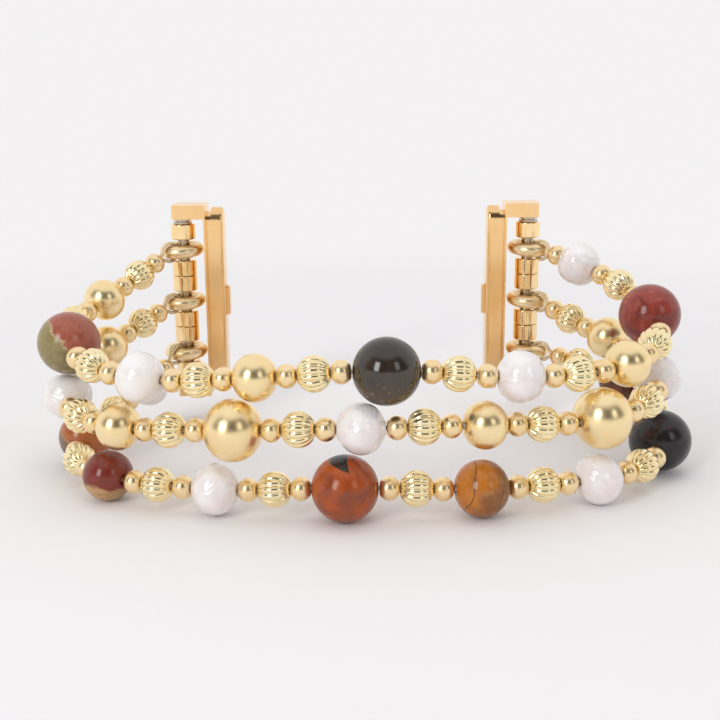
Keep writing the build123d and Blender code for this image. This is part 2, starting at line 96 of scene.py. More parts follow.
# Stones of two colours, which meet at a level in millimetres above the middle, on a slope in degrees
TWO_TONE_STONES = {
    "green_stone": {
        "upper": (0.36, 0.10, 0.06),
        "lower": (0.27, 0.215, 0.085),
        "seam": (0.52, 0.37, 0.22),
        "slope": 42,
        "level": 0.9,
    },
    "dark_red_stone": {
        "upper": (0.20, 0.030, 0.018),
        "lower": (0.50, 0.29, 0.13),
        "seam": (0.30, 0.12, 0.05),
        "slope": 8,
        "level": -0.7,
    },
    "orange_stone": {
        "upper": (0.45, 0.14, 0.045),
        "lower": (0.20, 0.13, 0.08),
        "seam": (0.4, 0.2, 0.1),
        "slope": 50,
        "level": -1.2,
    },
}
# Dark stones with veins and spots
VEINED_STONES = {
    "red_stone": {
        "color": (0.31, 0.050, 0.034),
        "dark": (0.17, 0.024, 0.018),
        "spot": (0.40, 0.11, 0.075),
    },
    "black_stone": {
        "color": (0.026, 0.020, 0.022),
        "dark": (0.010, 0.009, 0.010),
        "spot": (0.10, 0.018, 0.018),
    },
    "brown_stone": {
        "color": (0.17, 0.06, 0.03),
        "dark": (0.09, 0.03, 0.016),
        "spot": (0.25, 0.12, 0.06),
    },
}

PALE_PAPER = (0.90, 0.885, 0.89)
# Each lamp's name, place, width and height, power, and whether metal mirrors it
LAMPS = (
    ("key", (-0.387, -0.552, 0.345), (0.20, 0.36), 1.6, True),
    ("fill", (0.415, -0.530, 0.365), (0.18, 0.32), 0.35, True),
    ("top", (0.0, 0.10, 0.75), (0.60, 0.60), 1.0, False),
)
LAMP_AIM = (0.0, 0.0, 0.015)


class Value:
    """A socket of a shader, with the arithmetic that the finishes use."""

    def __init__(self, shading, socket):
        self.shading = shading
        self.socket = socket

    def maths(self, operation, first, second):
        """Adds the Math node of one operation."""
        return self.shading.node("ShaderNodeMath", {"operation": operation}, {0: first, 1: second})

    def __add__(self, other):
        return self.maths("ADD", self, other)

    __radd__ = __add__

    def __sub__(self, other):
        return self.maths("SUBTRACT", self, other)

    def __rsub__(self, other):
        return self.maths("SUBTRACT", other, self)

    def __mul__(self, other):
        return self.maths("MULTIPLY", self, other)

    __rmul__ = __mul__

    def __abs__(self):
        return self.maths("ABSOLUTE", self, 0.0)

    def at_most(self, other):
        """The smaller of two values."""
        return self.maths("MINIMUM", self, other)

    def at_least(self, other):
        """The larger of two values."""
        return self.maths("MAXIMUM", self, other)


class Shading:
    """A tree of shader nodes being made."""

    MIX_OUTPUT, MIX_A, MIX_B = 2, 6, 7

    def __init__(self, tree):
        self.tree = tree
        self.tree.nodes.clear()

    def feed(self, socket, value):
        """Links a socket to a value, or sets its number or colour."""
        if isinstance(value, Value):
            self.tree.links.new(value.socket, socket)
        elif hasattr(value, "__len__") and len(value) == 3 and socket.type == "RGBA":
            socket.default_value = (*value, 1.0)
        else:
            socket.default_value = value

    def node(self, kind, options, inputs, output=0):
        """Adds a node, sets its options and then feeds its sockets."""
        node = self.tree.nodes.new(kind)
        for key, value in options.items():
            setattr(node, key, value)
        for key, value in inputs.items():
            self.feed(node.inputs[key], value)
        return Value(self, node.outputs[output])

    def mix(self, factor, first, second):
        """Goes from the first colour to the second."""
        inputs = {0: factor, self.MIX_A: first, self.MIX_B: second}
        return self.node("ShaderNodeMix", {"data_type": "RGBA"}, inputs, self.MIX_OUTPUT)

    def axes(self, vector):
        """The three numbers of a vector."""
        split = self.node("ShaderNodeSeparateXYZ", {}, {"Vector": vector})
        outputs = split.socket.node.outputs
        return [Value(self, outputs[name]) for name in ("X", "Y", "Z")]

    def noise(self, vector, scale, detail=3.0, roughness=0.5, distortion=0.0):
        """Cloudy noise from 0 to 1."""
        inputs = {
            "Vector": vector,
            "Scale": scale,
            "Detail": detail,
            "Roughness": roughness,
            "Distortion": distortion,
        }
        return self.node("ShaderNodeTexNoise", {}, inputs, "Fac")

    def step(self, value, low, high):
        """0 below low, 1 above high, smooth between."""
        inputs = {"Value": value, "From Min": low, "From Max": high}
        return self.node("ShaderNodeMapRange", {"interpolation_type": "SMOOTHSTEP"}, inputs)

    def rays(self):
        """1 for a camera ray, 1 for a mirrored ray and 1 for a ray that went through glass, else 0."""
        return [
            self.node("ShaderNodeLightPath", {}, {}, ray)
            for ray in ("Is Camera Ray", "Is Glossy Ray", "Is Transmission Ray")
        ]


class Finish(Shading):
    """A material being made, with a Principled shader at its end."""

    def __init__(self, name):
        self.material = bpy.data.materials.new(name)
        self.material.use_nodes = True
        super().__init__(self.material.node_tree)
        self.shader = self.tree.nodes.new("ShaderNodeBsdfPrincipled")
        self.output = self.tree.nodes.new("ShaderNodeOutputMaterial")
        self.tree.links.new(self.shader.outputs["BSDF"], self.output.inputs["Surface"])

    def place(self, centre=(0.0, 0.0, 0.0), turn=(0.0, 0.0, 0.0), unit=MM):
        """Object coordinates counted from a centre in a unit of length."""
        here = self.node("ShaderNodeTexCoord", {}, {}, "Object")
        inputs = {"Vector": here, "Location": centre, "Rotation": turn, "Scale": (unit,) * 3}
        return self.node("ShaderNodeMapping", {"vector_type": "TEXTURE"}, inputs)

    def bump(self, height, strength, distance):
        """A surface normal bent by a height."""
        inputs = {"Height": height, "Strength": strength, "Distance": distance}
        return self.node("ShaderNodeBump", {}, inputs, "Normal")

    def set(self, **sockets):
        """Feeds the Principled shader's sockets, whose names are written with underscores."""
        for name, value in sockets.items():
            self.feed(self.shader.inputs[name.replace("_", " ").title().replace("Ior", "IOR")], value)
        return self.material


class Stone(Finish):
    """A polished stone being made, with broad and fine clouds about its middle."""

    def __init__(self, name, centre, slope=0):
        super().__init__(name)
        self.here = self.place(centre, (0.0, math.radians(slope), 0.0))
        self.broad = self.noise(self.here, 0.22, detail=4.0, roughness=0.55, distortion=0.8)
        self.fine = self.noise(self.here, 1.1, detail=5.0, roughness=0.65)

    def polish(self, color):
        """Ends the stone, whose gloss and face are slightly uneven."""
        return self.set(
            base_color=color,
            roughness=0.19 + 0.12 * self.step(self.fine, 0.5, 0.75),
            ior=1.48,
            normal=self.bump(self.fine, 0.8, 0.003 * MM),
        )


def darker(color, share):
    """A colour with only a share of its light."""
    return [share * part for part in color]


def gold_finish(name, color, deep, roughness, grain, grain_depth):
    """Gold plate: a little colour in its clouds, fine grain and small changes of gloss."""
    finish = Finish(name)
    here = finish.place()
    clouds = finish.noise(here, 0.35, detail=2.0)
    fine = finish.noise(here, grain, detail=4.0, roughness=0.6)
    return finish.set(
        base_color=finish.mix(finish.step(clouds, 0.35, 0.7), color, deep),
        metallic=1.0,
        roughness=roughness + 0.10 * (fine - 0.5),
        normal=finish.bump(fine, 1.0, grain_depth),
    )


def steel_finish(name, color, roughness):
    """Bright steel with faint drawn lines along the bar."""
    finish = Finish(name)
    lines = finish.noise(finish.place(), 6.0, detail=2.0)
    return finish.set(
        base_color=finish.mix(lines, color, darker(color, 0.8)),
        metallic=1.0,
        roughness=roughness + 0.15 * (lines - 0.5),
        normal=finish.bump(lines, 0.4, 0.01 * MM),
    )


def cord_finish(name, color):
    """Clear elastic cord: pale, glossy and slightly milky."""
    finish = Finish(name)
    cloud = finish.noise(finish.place(), 2.0)
    return finish.set(
        base_color=finish.mix(cloud, color, darker(color, 0.75)),
        roughness=0.22,
        subsurface_weight=0.3,
        subsurface_radius=(0.3 * MM, 0.25 * MM, 0.2 * MM),
        subsurface_scale=1.0,
        coat_weight=0.5,
        normal=finish.bump(cloud, 0.5, 0.02 * MM),
    )


def pearl_finish(name, centre, shade):
    """Mother-of-pearl: shaded and cream clouds in white, a soft body and a clear gloss."""
    finish = Finish(name)
    here = finish.place(centre)
    cloud = finish.noise(here, 0.22, detail=2.0, distortion=0.6)
    veil = finish.noise(here, 0.45, detail=3.0, distortion=1.2)
    fine = finish.noise(here, 2.5, detail=3.0)
    shaded = finish.mix(finish.step(cloud, 0.35, 0.68), settings().pearl_white, shade)
    return finish.set(
        base_color=finish.mix(0.5 * finish.step(veil, 0.5, 0.72), shaded, settings().pearl_cream),
        roughness=0.20 + 0.10 * veil,
        subsurface_weight=0.15,
        subsurface_radius=(0.8 * MM, 0.6 * MM, 0.5 * MM),
        subsurface_scale=1.0,
        coat_weight=1.0,
        coat_roughness=0.13,
        coat_ior=1.65,
        normal=finish.bump(veil + 0.2 * fine, 0.6, 0.03 * MM),
    )


def brown_red_stone(name, centre):
    """Brown-red stone with a black wedge from the top and fine pale specks."""
    stone = Stone(name, centre)
    x, _, z = stone.axes(stone.here)
    body = stone.mix(stone.step(stone.broad, 0.35, 0.7), settings().brown_red, (0.20, 0.045, 0.018))
    clouded = stone.mix(0.55 * stone.step(stone.fine, 0.6, 0.75), body, (0.40, 0.13, 0.05))
    above = z - 3.04 + 0.27 * x
    beside = 2.1 - 0.4 * z - 1.5 * x
    wedge = stone.step(above.at_most(beside) + 0.4 * (stone.broad - 0.5), -0.05, 0.12)
    specks = stone.step(stone.noise(stone.here, 3.2, detail=1.0), 0.76, 0.80)
    color = stone.mix(0.4 * specks, stone.mix(wedge, clouded, (0.02, 0.017, 0.014)), (0.6, 0.3, 0.18))
    return stone.polish(color)


def tiger_stone(name, centre):
    """Golden brown stone with thin dark veins curving across it."""
    stone = Stone(name, centre, slope=14)
    x, _, z = stone.axes(stone.here)
    clouds = stone.step(stone.broad + 0.06 * x, 0.35, 0.66)
    body = stone.mix(clouds, settings().tiger_gold, (0.235, 0.085, 0.02))
    streaks = stone.step(stone.noise(stone.here, 0.9, detail=4.0), 0.52, 0.7)
    streaked = stone.mix(0.5 * streaks, body, (0.47, 0.22, 0.055))
    bend = x + 0.05 * z * z + 1.1 * (stone.broad - 0.5)
    first, second, third = (
        stone.step(abs(bend - seat), width, 0.0) for seat, width in ((-1.3, 0.13), (2.25, 0.1), (2.9, 0.07))
    )
    veins = first.at_least(second).at_least(third)
    return stone.polish(stone.mix(0.9 * veins, streaked, (0.045, 0.022, 0.008)))


def smoky_stone(name, centre):
    """Smoky glassy stone: nearly black, clear gloss, and a painted glow of light through it: lighter brown
    towards the bottom, with small flecks there.
    """
    stone = Stone(name, centre)
    _, _, z = stone.axes(stone.here)
    body = stone.mix(stone.step(stone.broad, 0.3, 0.75), settings().smoky_black, (0.048, 0.033, 0.022))
    # Painted light: the body turns lighter brown towards the bottom, as if lit through the glass; the stone's
    # own flecks show only in that painted glow
    low = stone.step(-1.0 * z, -0.6, 3.2)
    flecks = stone.step(stone.noise(stone.here, 1.9, detail=1.0), 0.66, 0.73) * low
    color = stone.mix(0.8 * flecks, stone.mix(0.8 * low, body, (0.075, 0.046, 0.024)), (0.42, 0.27, 0.12))
    return stone.set(base_color=color, roughness=0.13, ior=1.6)


def two_tone_stone(name, centre, upper, lower, seam, slope, level):
    """A stone of two colours with a pale seam where they meet."""
    stone = Stone(name, centre, slope)
    x, _, z = stone.axes(stone.here)
    upper_cloud = stone.mix(0.6 * stone.step(stone.fine, 0.45, 0.7), upper, darker(upper, 0.55))
    lower_cloud = stone.mix(0.6 * stone.step(stone.fine + 0.05 * x, 0.42, 0.62), lower, darker(lower, 0.55))
    edge = z - level + 2.6 * (stone.broad - 0.5) + 0.5 * (stone.fine - 0.5)
    color = stone.mix(stone.step(edge, -0.15, 0.15), lower_cloud, upper_cloud)
    along_edge = stone.step(abs(edge), 0.32, 0.05) * stone.step(stone.fine, 0.42, 0.60)
    return stone.polish(stone.mix(along_edge, color, seam))


def veined_stone(name, centre, color, dark, spot):
    """A dark stone with branching veins, clouds and round spots."""
    stone = Stone(name, centre)
    clouded = stone.mix(stone.step(stone.broad, 0.38, 0.66), color, dark)
    branch = stone.noise(stone.here, 0.35, detail=3.0, distortion=1.8)
    veins = stone.step(abs(branch - 0.5), 0.035, 0.0)
    veined = stone.mix(0.45 * veins, clouded, darker(dark, 0.35))
    spots = stone.step(stone.noise(stone.here, 0.6, detail=2.0), 0.62, 0.70)
    return stone.polish(stone.mix(0.5 * spots, veined, spot))


def stone_finish(slot, centre):
    """The finish of the stone that has a material slot."""
    if slot in TWO_TONE_STONES:
        return two_tone_stone(slot, centre, **TWO_TONE_STONES[slot])
    if slot in VEINED_STONES:
        return veined_stone(slot, centre, **VEINED_STONES[slot])
    make = {"brown_red_stone": brown_red_stone, "tiger_stone": tiger_stone, "smoky_stone": smoky_stone}
    return make[slot](slot, centre)


def solids_in(node):
    """The separate solids of a CAD node, one after the other, each as its faces in a merged copy."""
    copy = bmesh.new()
    copy.from_mesh(frame["nodes"][node].data)
    bmesh.ops.remove_doubles(copy, verts=copy.verts, dist=settings().weld)
    seen = set()
    for start in copy.faces:
        if start in seen:
            continue
        seen.add(start)
        solid, edge = [], [start]
        while edge:
            face = edge.pop()
            solid.append(face)
            for other in (other for side in face.edges for other in side.link_faces):
                if other not in seen:
                    seen.add(other)
                    edge.append(other)
        yield solid
    copy.free()


def corners_of(solid):
    """The places of a solid's corners."""
    return [vert.co.copy() for vert in dict.fromkeys(vert for face in solid for vert in face.verts)]


def off_line(place, along):
    """How far a place lies from a line through the origin."""
    return (place - along * place.dot(along)).length


def bead_from(solid):
    """Reads one bead from its faces: its two flat ends are the widest flats that it has."""
    flats = {}
    for face in solid:
        flats.setdefault(tuple(round(part, 3) for part in face.normal), []).append(face)
    widest = sorted(flats.values(), key=lambda faces: -sum(face.calc_area() for face in faces))[:2]
    ends = []
    for faces in widest:
        area = sum(face.calc_area() for face in faces)
        ends.append(sum((face.calc_center_median() * face.calc_area() for face in faces), Vector()) / area)
    middle = (ends[0] + ends[1]) / 2
    along = (ends[1] - ends[0]).normalized()
    if along.x < 0:
        along.negate()
    radius = max(off_line(place - middle, along) for place in corners_of(solid))
    return middle, along, (ends[1] - ends[0]).length, radius


def beads_in(node):
    """Every bead of a CAD node: its middle, its direction, its length and its radius."""
    return sorted((bead_from(solid) for solid in solids_in(node)), key=lambda bead: tuple(bead[0]))


def ring_middles(side):
    """The middle of each ring of one side, from the lowest up."""
    rings = [corners_of(solid) for solid in solids_in(f"{side}_rings")]
    return sorted((sum(ring, Vector()) / len(ring) for ring in rings), key=lambda middle: middle.z)


def bead_matrix(middle, along, roll=0.0):
    """Puts a bead made along +Z in its place."""
    turned = along.to_track_quat("Z", "Y").to_matrix().to_4x4()
    return Matrix.Translation(middle) @ turned @ Matrix.Rotation(roll, 4, "Z")


def bead_outline(length, radius, steps):
    """Half section of a bead from one mouth of its hole to the other, with rounded mouths."""
    hole, flat, mouth = settings().hole / 2, settings().flat_end / 2, settings().mouth
    half = length / 2
    centre = (radius**2 - flat**2 - half**2) / (2 * (radius - flat))
    reach = math.atan2(half, flat - centre)
    side = [
        (centre + (radius - centre) * math.cos(turn), (radius - centre) * math.sin(turn))
        for turn in (reach * (2 * n / steps - 1) for n in range(steps + 1))
    ]
    low = [(hole, -half + 2 * mouth), (hole + 0.3 * mouth, -half + 0.7 * mouth), (hole + mouth, -half)]
    return low + side + [(place, -height) for place, height in reversed(low)]


def spun(outline, steps, closed):
    """Spins a half section, which is a closed loop or an open line, all the way round the Z axis."""
    mesh = bmesh.new()
    verts = [mesh.verts.new((place, 0.0, height)) for place, height in outline]
    nexts = verts[1:] + verts[:1] if closed else verts[1:]
    edges = [mesh.edges.new(pair) for pair in zip(verts, nexts)]
    bmesh.ops.spin(
        mesh, geom=verts + edges, axis=(0, 0, 1), cent=(0, 0, 0), steps=steps, angle=ALL_WAY, use_merge=True
    )
    bmesh.ops.remove_doubles(mesh, verts=mesh.verts, dist=settings().weld)
    bmesh.ops.recalc_face_normals(mesh, faces=mesh.faces)
    return mesh


def bead_shape(length, radius, rows, steps):
    """A bead along +Z at the origin, as a mesh to be shaped and copied."""
    return spun(bead_outline(length, radius, rows), steps, closed=True)


def flute(mesh):
    """Presses the grooves into a fluted bead, from one flat end to the other."""
    band = settings()
    slant = 0.35
    for vert in mesh.verts:
        beside = math.hypot(vert.co.x, vert.co.y)
        turn = math.atan2(vert.co.y, vert.co.x)
        across = abs(2 * (band.flutes * turn / ALL_WAY % 1) - 1)
        calm = min(1.0, max(0.0, (beside - band.hole / 2 - band.mouth) / (band.flat_end / 2)))
        push = band.flute_depth * (1 - math.sqrt(1 - across**2)) * calm
        vert.co -= Vector((vert.co.x, vert.co.y, slant * vert.co.z)).normalized() * push


def shape_pearl(mesh, middle, along, seed):
    """Makes a round bead uneven as a pearl is: slow waves, and ring grooves about a line that points up."""
    band = settings()
    rim = band.flat_end / 2
    line = Vector((0.55 * math.sin(seed * 2.3), -0.45, 0.8)).normalized()
    first_groove = 0.52 + 0.12 * math.sin(seed * 3.1)
    wave_scale, wave_level, wave_start = 1.1, 0.55, Vector((seed * 7.1, 0, 0))
    for vert in mesh.verts:
        place = vert.co - middle
        beside = off_line(place, along)
        if beside < rim + band.mouth:
            continue
        outward = place.normalized()
        calm = min(1.0, (beside - rim) / rim)
        wave = noise.noise(outward * wave_scale + wave_start) - wave_level
        up = outward.dot(line) - first_groove
        grooves = sum(math.exp(-(((up - seat) / width) ** 2)) for seat, width in PEARL_GROOVES)
        vert.co += outward * calm * (band.pearl_wave * wave - band.pearl_groove * grooves)


def single_bead(node, faces):
    """The one bead of a CAD node made anew in its place, with its middle and its direction."""
    (middle, along, length, radius), = beads_in(node)
    mesh = bead_shape(length, radius, *faces)
    mesh.transform(bead_matrix(middle, along))
    return mesh, middle, along


def bead_group(beads, rows, steps, fluted):
    """Beads of one kind in one mesh, each in its place and turned further than the one before."""
    group = bmesh.new()
    for number, (middle, along, length, radius) in enumerate(beads):
        bead = bead_shape(length, radius, rows, steps)
        if fluted:
            flute(bead)
        bead.transform(bead_matrix(middle, along, ROLL_STEP * number))
        data = bpy.data.meshes.new("bead")
        bead.to_mesh(data)
        bead.free()
        group.from_mesh(data)
        bpy.data.meshes.remove(data)
    return group


def add_object(name, data):
    """Makes an object of its data and puts it in the scene."""
    thing = bpy.data.objects.new(name, data)
    bpy.context.scene.collection.objects.link(thing)
    return thing


def smooth_object(name, mesh, finish):
    """Makes a smooth object of a mesh, with one finish."""
    for face in mesh.faces:
        face.smooth = True
    data = bpy.data.meshes.new(name)
    mesh.to_mesh(data)
    mesh.free()
    data.materials.append(finish)
    return add_object(name, data)


def add_piece(name, mesh, finish, slot, body, node):
    """Makes a piece of a mesh, which stands for a CAD node and rides on a body."""
    piece = smooth_object(name, mesh, finish)
    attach(piece, body)
    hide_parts(node)


def dress(node, finish):
    """Gives a CAD node a finish."""
    materials = frame["nodes"][node].data.materials
    materials.clear()
    materials.append(finish)


def settings():
    """The sizes and colours that a user would change."""
    return bpy.context.scene.bead_band


def large_beads(word):
    """Names of the CAD nodes of the large beads that hold a word."""
    rows = ("top_", "middle_", "bottom_")
    return sorted(name for name in frame["nodes"] if name.startswith(rows) and word in name)


class BeadBandSettings(bpy.types.PropertyGroup):
    """Sizes and colours of the band."""

    hole: bpy.props.FloatProperty(
        name="Hole", description="Width of a bead's hole", default=1.0 * MM, unit="LENGTH"
    )
    flat_end: bpy.props.FloatProperty(
        name="Flat end", description="Width of the flat round a bead's hole", default=1.6 * MM, unit="LENGTH"
    )
    mouth: bpy.props.FloatProperty(
        name="Mouth", description="Rounding of a bead's hole", default=0.1 * MM, unit="LENGTH"
    )
    weld: bpy.props.FloatProperty(
        name="Weld", description="Distance at which loose corners join", default=0.001 * MM, unit="LENGTH"
    )
    ring_reach: bpy.props.FloatProperty(
        name="Ring reach",
        description="From a ring's middle to its wire's middle",
        default=2.35 * MM,
        unit="LENGTH",
    )
    ring_tilt: bpy.props.FloatProperty(
        name="Ring tilt",
        description="How far the outer end of a ring hangs down",
        default=math.radians(4),
        unit="ROTATION",
    )
    wire: bpy.props.FloatProperty(
        name="Wire", description="Half the thickness of a ring's wire", default=0.95 * MM, unit="LENGTH"
    )
    strand: bpy.props.FloatProperty(
        name="Strand", description="Thickness of a fine strand of the cord", default=0.26 * MM, unit="LENGTH"
    )
    strand_spread: bpy.props.FloatProperty(
        name="Strand spread",
        description="From the cord's loop to the strand beside it",
        default=0.42 * MM,
        unit="LENGTH",
    )
    flutes: bpy.props.IntProperty(name="Flutes", description="Lobes of a fluted bead", default=14)
    flute_depth: bpy.props.FloatProperty(
        name="Flute depth",
        description="Depth of the grooves of a fluted bead",
        default=0.30 * MM,
        unit="LENGTH",
    )
    pearl_wave: bpy.props.FloatProperty(
        name="Pearl wave", description="Unevenness of a pearl", default=0.20 * MM, unit="LENGTH"
    )
    pearl_groove: bpy.props.FloatProperty(
        name="Pearl groove",
        description="Depth of the ring grooves of a pearl",
        default=0.04 * MM,
        unit="LENGTH",
    )
    satin_gold: bpy.props.FloatVectorProperty(
        name="Satin gold", description="Round gold beads", default=(1.0, 0.81, 0.47), subtype="COLOR"
    )
    fluted_gold: bpy.props.FloatVectorProperty(
        name="Fluted gold", description="Fluted gold beads", default=(1.0, 0.87, 0.54), subtype="COLOR"
    )
    bright_gold: bpy.props.FloatVectorProperty(
        name="Bright gold", description="Spacer barrels", default=(1.0, 0.76, 0.43), subtype="COLOR"
    )
    pearl_white: bpy.props.FloatVectorProperty(
        name="Pearl white", description="Body of the pearls", default=(0.87, 0.84, 0.84), subtype="COLOR"
    )
    pearl_pink: bpy.props.FloatVectorProperty(
        name="Pearl pink",
        description="Pink clouds of the pearls",
        default=(0.80, 0.72, 0.72),
        subtype="COLOR",
    )
    pearl_cream: bpy.props.FloatVectorProperty(
        name="Pearl cream",
        description="Cream clouds of the pearls",
        default=(0.85, 0.79, 0.73),
        subtype="COLOR",
    )
    brown_red: bpy.props.FloatVectorProperty(
        name="Brown-red", description="Brown-red stone", default=(0.42, 0.075, 0.008), subtype="COLOR"
    )
    tiger_gold: bpy.props.FloatVectorProperty(
        name="Tiger gold", description="Banded golden stone", default=(0.50, 0.165, 0.018), subtype="COLOR"
    )
    smoky_black: bpy.props.FloatVectorProperty(
        name="Smoky black", description="Smoky stone", default=(0.020, 0.015, 0.011), subtype="COLOR"
    )


class BandOperator(bpy.types.Operator):
    """What the steps of the band share."""

    bl_options = {"REGISTER", "UNDO"}


class BEADBAND_OT_gold_beads(BandOperator):
    """Makes the nine round satin gold beads"""

    bl_idname = "beadband.gold_beads"
    bl_label = "Gold beads"

    def execute(self, context):
        finish = gold_finish(
            "satin_gold",
            settings().satin_gold,
            deep=(0.98, 0.76, 0.41),
            roughness=0.30,
            grain=6.0,
            grain_depth=0.0012 * MM,
        )
        for node in large_beads("gold"):
            mesh, _, _ = single_bead(node, GOLD_FACES)
            add_piece(f"gold_{node}", mesh, finish, "satin_gold", node, node)
        return {"FINISHED"}


class BEADBAND_OT_pearls(BandOperator):
    """Makes the nine uneven pearls"""

    bl_idname = "beadband.pearls"
    bl_label = "Pearls"

    def execute(self, context):
        band = settings()
        for number, node in enumerate(large_beads("pearl")):
            mesh, middle, along = single_bead(node, PEARL_FACES)
            shape_pearl(mesh, middle, along, number + 1)
            shade = band.pearl_pink if number % 3 else band.pearl_cream
            add_piece(f"bead_{node}", mesh, pearl_finish(node, middle, shade), "pearl", node, node)
        return {"FINISHED"}


class BEADBAND_OT_stones(BandOperator):
    """Makes the nine polished stones"""

    bl_idname = "beadband.stones"
    bl_label = "Stones"

    def execute(self, context):
        for node in large_beads("stone"):
            mesh, middle, _ = single_bead(node, STONE_FACES)
            slot = SLOTS[node]
            add_piece(f"bead_{node}", mesh, stone_finish(slot, middle), slot, node, node)
        return {"FINISHED"}


class BEADBAND_OT_spacer_beads(BandOperator):
    """Makes the small round and the fluted gold beads of every link"""

    bl_idname = "beadband.spacer_beads"
    bl_label = "Spacer beads"

    def execute(self, context):
        band = settings()
        satin = gold_finish(
            "small_gold",
            (0.99, 0.78, 0.46),
            deep=(0.97, 0.73, 0.40),
            roughness=0.31,
            grain=6.0,
            grain_depth=0.0012 * MM,
        )
        bright = gold_finish(
            "fluted_gold",
            band.fluted_gold,
            deep=(0.98, 0.80, 0.46),
            roughness=0.22,
            grain=5.0,
            grain_depth=0.0006 * MM,
        )
        for link in LINKS:
            node, body = f"spacer_beads_{link}", f"{link}_link"
            beads = beads_in(node)
            least = SMALL_SHARE * max(length for _, _, length, _ in beads)
            small = [bead for bead in beads if bead[2] < least]
            large = [bead for bead in beads if bead[2] >= least]
            small_mesh = bead_group(small, *SMALL_FACES, fluted=False)
            add_piece(f"small_beads_{link}", small_mesh, satin, "satin_gold", body, node)
            fluted_mesh = bead_group(large, FLUTED_ROWS, STEPS_PER_FLUTE * band.flutes, fluted=True)
            add_piece(f"fluted_beads_{link}", fluted_mesh, bright, "satin_gold", body, node)
        return {"FINISHED"}


class BEADBAND_OT_connectors(BandOperator):
    """Finishes the connectors, their bars, barrels, rings and springs"""

    bl_idname = "beadband.connectors"
    bl_label = "Connectors"

    def execute(self, context):
        barrel = gold_finish(
            "bright_gold",
            settings().bright_gold,
            deep=(0.98, 0.70, 0.36),
            roughness=0.16,
            grain=3.0,
            grain_depth=0.001 * MM,
        )
        ring = gold_finish(
            "ring_gold",
            (0.99, 0.80, 0.50),
            deep=(0.97, 0.75, 0.43),
            roughness=0.36,
            grain=4.0,
            grain_depth=0.001 * MM,
        )
        plate = gold_finish(
            "plate_gold",
            (0.95, 0.64, 0.32),
            deep=(0.93, 0.60, 0.28),
            roughness=0.20,
            grain=3.0,
            grain_depth=0.001 * MM,
        )
        # The bar's steel is painted warm and dark: painted reflection of the gold round it and painted shade
        # inside the rings; the bar tips share it
        steel = steel_finish("bar_steel", (0.60, 0.51, 0.40), 0.25)
        spring = steel_finish("spring_wire", (0.6, 0.6, 0.62), 0.3)
        finishes = {
            "lug": plate,
            "catch_button": plate,
            "catch_spring": spring,
            "barrels": barrel,
            "rings": ring,
            "spring_bar": steel,
            "bar_tip": steel,
            "bar_spring": spring,
        }
        for side in SIDES:
            for word, finish in finishes.items():
                dress(f"{side}_{word}", finish)
        return {"FINISHED"}


def strand_route(eye, out, across, mouth):
    """One fine strand's points: out of the bead's hole, over the ring's wire, back under it and in again."""
    band = settings()
    reach = STRAND_ROOM * (band.wire + band.strand)
    upward = out.cross(across)
    turns = [math.radians(turn) for turn in STRAND_TURNS]
    return [mouth, *(eye + (out * math.cos(turn) + upward * math.sin(turn)) * reach for turn in turns), mouth]


def strand_routes(centre, beads):
    """The two fine strands beside the cord's loop round one ring, from the bead that is nearest to it."""
    band = settings()
    middle, along, length, _ = min(beads, key=lambda bead: (bead[0] - centre).length)
    near = min((-1, 1), key=lambda end: (middle + along * end * length - centre).length)
    mouth = middle + along * near * length / 2
    level = Vector((middle.x - centre.x, middle.y - centre.y, 0.0)).normalized()
    out = (level - Vector((0, 0, math.tan(band.ring_tilt)))).normalized()
    axle = out.cross(level.cross(Vector((0, 0, 1)))).normalized()
    for beside in (-1, 1):
        seat = Matrix.Rotation(beside * band.strand_spread / band.ring_reach, 3, axle) @ out
        across = seat.cross(axle)
        eye = centre + seat * band.ring_reach
        yield strand_route(eye, seat, across, mouth + across * beside * band.strand)


def wrap_strands(side, finish):
    """Winds the fine strands round the wires of one side's rings."""
    data = bpy.data.curves.new(f"strands_{side}", "CURVE")
    data.dimensions = "3D"
    data.bevel_depth = settings().strand / 2
    data.bevel_resolution = 3
    data.resolution_u = 8
    beads = beads_in(f"spacer_beads_{side}_end")
    for route in (route for centre in ring_middles(side) for route in strand_routes(centre, beads)):
        spline = data.splines.new("NURBS")
        spline.points.add(len(route) - 1)
        for point, place in zip(spline.points, route):
            point.co = (*place, 1.0)
        spline.order_u = 3
        spline.use_endpoint_u = True
    data.materials.append(finish)
    piece = add_object(data.name, data)
    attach(piece, f"{side}_end_link")


class BEADBAND_OT_cords(BandOperator):
    """Finishes the elastic cords and winds their strands round the rings"""

    bl_idname = "beadband.cords"
    bl_label = "Cords"

    def execute(self, context):
        finish = cord_finish("elastic_cord", (0.86, 0.68, 0.42))
        for link in LINKS:
            dress(f"cords_{link}", finish)
        for side in SIDES:
            wrap_strands(side, finish)
        return {"FINISHED"}


def paper_finish(name, color):
    """Plain matt paper, which far from the band is evenly pale to the eye and in mirrors."""
    near, far = 0.07, 0.22
    finish = Finish(name)
    finish.set(base_color=color, roughness=0.9, specular_ior_level=0.1)
    x, y, _ = finish.axes(finish.place(unit=1.0))
    away = finish.step(x * x + y * y, near**2, far**2)
    seen, mirrored, through = finish.rays()
    pale = finish.mix(mirrored, color, (1.0, 0.985, 0.96))
    glow = finish.node("ShaderNodeEmission", {}, {"Color": pale, "Strength": 1.0})
    paper = Value(finish, finish.shader.outputs["BSDF"])
    share = away * seen.at_least(mirrored).at_least(through)
    mixed = finish.node("ShaderNodeMixShader", {}, {0: share, 1: paper, 2: glow})
    finish.feed(finish.output.inputs["Surface"], mixed)
    return finish.material


